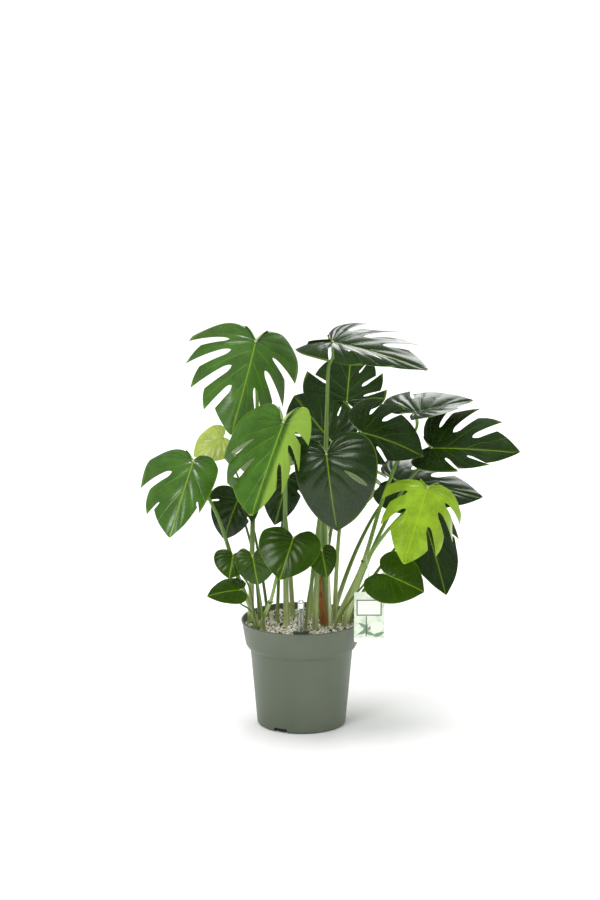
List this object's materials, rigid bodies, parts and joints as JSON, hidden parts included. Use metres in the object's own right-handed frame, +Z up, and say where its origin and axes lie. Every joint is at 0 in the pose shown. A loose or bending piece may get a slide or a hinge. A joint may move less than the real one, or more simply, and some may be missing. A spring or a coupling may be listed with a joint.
{
  "type": "potted split-leaf plant",
  "caption": "Split-leaf monstera plant in a grey-green plastic nursery pot with mineral granules, a water gauge and a hanging tag.",
  "frame": {"origin": "middle of the pot's flat bottom, on the surface that it stands on", "axes": "+Z up through the middle of the pot; the plant's front, with the water gauge and the tag, faces -Y; +X is to the right seen from the front"},
  "size_m": [0.7413, 0.5449, 0.7977],
  "materials": {
    "pot_plastic": "satin moulded grey-green polypropylene, faint vertical flow lines",
    "granules": "loose cream, grey and dark mineral granules, dry and matt",
    "leaf_green": "mid-green waxy leaf, semi-gloss, pale midrib",
    "leaf_dark": "deep green waxy leaf, glossy, pale midrib",
    "leaf_lime": "young lime-green leaf, satin",
    "petiole_green": "smooth fleshy green stalk, lighter at the foot",
    "dry_sheath": "papery dry brown sheath",
    "clear_plastic": "clear polished acrylic",
    "float_plastic": "grey-green float and indicator rod",
    "holder_plastic": "dark grey-green satin plastic",
    "tag_card": null,
    "strap_plastic": "thin translucent plastic strap",
    "tie_plastic": "black soft tie"
  },
  "bodies": {
    "root": {"pot": "pot_plastic", "growing_medium": "granules", "blade_top_left": "leaf_green", "petiole_top_left": "petiole_green", "blade_left": "leaf_green", "petiole_left": "petiole_green", "blade_front_left": "leaf_green", "petiole_front_left": "petiole_green", "blade_front_centre": "leaf_dark", "petiole_front_centre": "petiole_green", "blade_dark_centre": "leaf_dark", "petiole_dark_centre": "petiole_green", "blade_top": "leaf_dark", "petiole_top": "petiole_green", "blade_behind_top": "leaf_dark", "petiole_behind_top": "petiole_green", "blade_right_top": "leaf_dark", "petiole_right_top": "petiole_green", "blade_right": "leaf_dark", "petiole_right": "petiole_green", "blade_centre_right": "leaf_dark", "petiole_centre_right": "petiole_green", "blade_back_right": "leaf_dark", "petiole_back_right": "petiole_green", "blade_lime": "leaf_lime", "petiole_lime": "petiole_green", "blade_right_low": "leaf_dark", "petiole_right_low": "petiole_green", "blade_round": "leaf_green", "petiole_round": "petiole_green", "blade_heart_front": "leaf_green", "petiole_heart_front": "petiole_green", "blade_heart_right": "leaf_green", "petiole_heart_right": "petiole_green", "blade_heart_left": "leaf_green", "petiole_heart_left": "petiole_green", "blade_small_left": "leaf_green", "petiole_small_left": "petiole_green", "blade_small_low": "leaf_green", "petiole_small_low": "petiole_green", "blade_inner_left": "leaf_dark", "petiole_inner_left": "petiole_green", "blade_yellow": "leaf_lime", "petiole_yellow": "petiole_green", "blade_inner_centre": "leaf_dark", "petiole_inner_centre": "petiole_green", "blade_back_left": "leaf_dark", "petiole_back_left": "petiole_green", "blade_back_centre": "leaf_dark", "petiole_back_centre": "petiole_green", "main_stem": "petiole_green", "dried_sheath": "dry_sheath", "gauge_tube": "clear_plastic", "gauge_float": "float_plastic", "gauge_holder": "holder_plastic", "plant_tag": "tag_card", "tag_strap": "strap_plastic", "stem_tie_left": "tie_plastic", "stem_tie_right": "tie_plastic"}
  },
  "joints": []
}
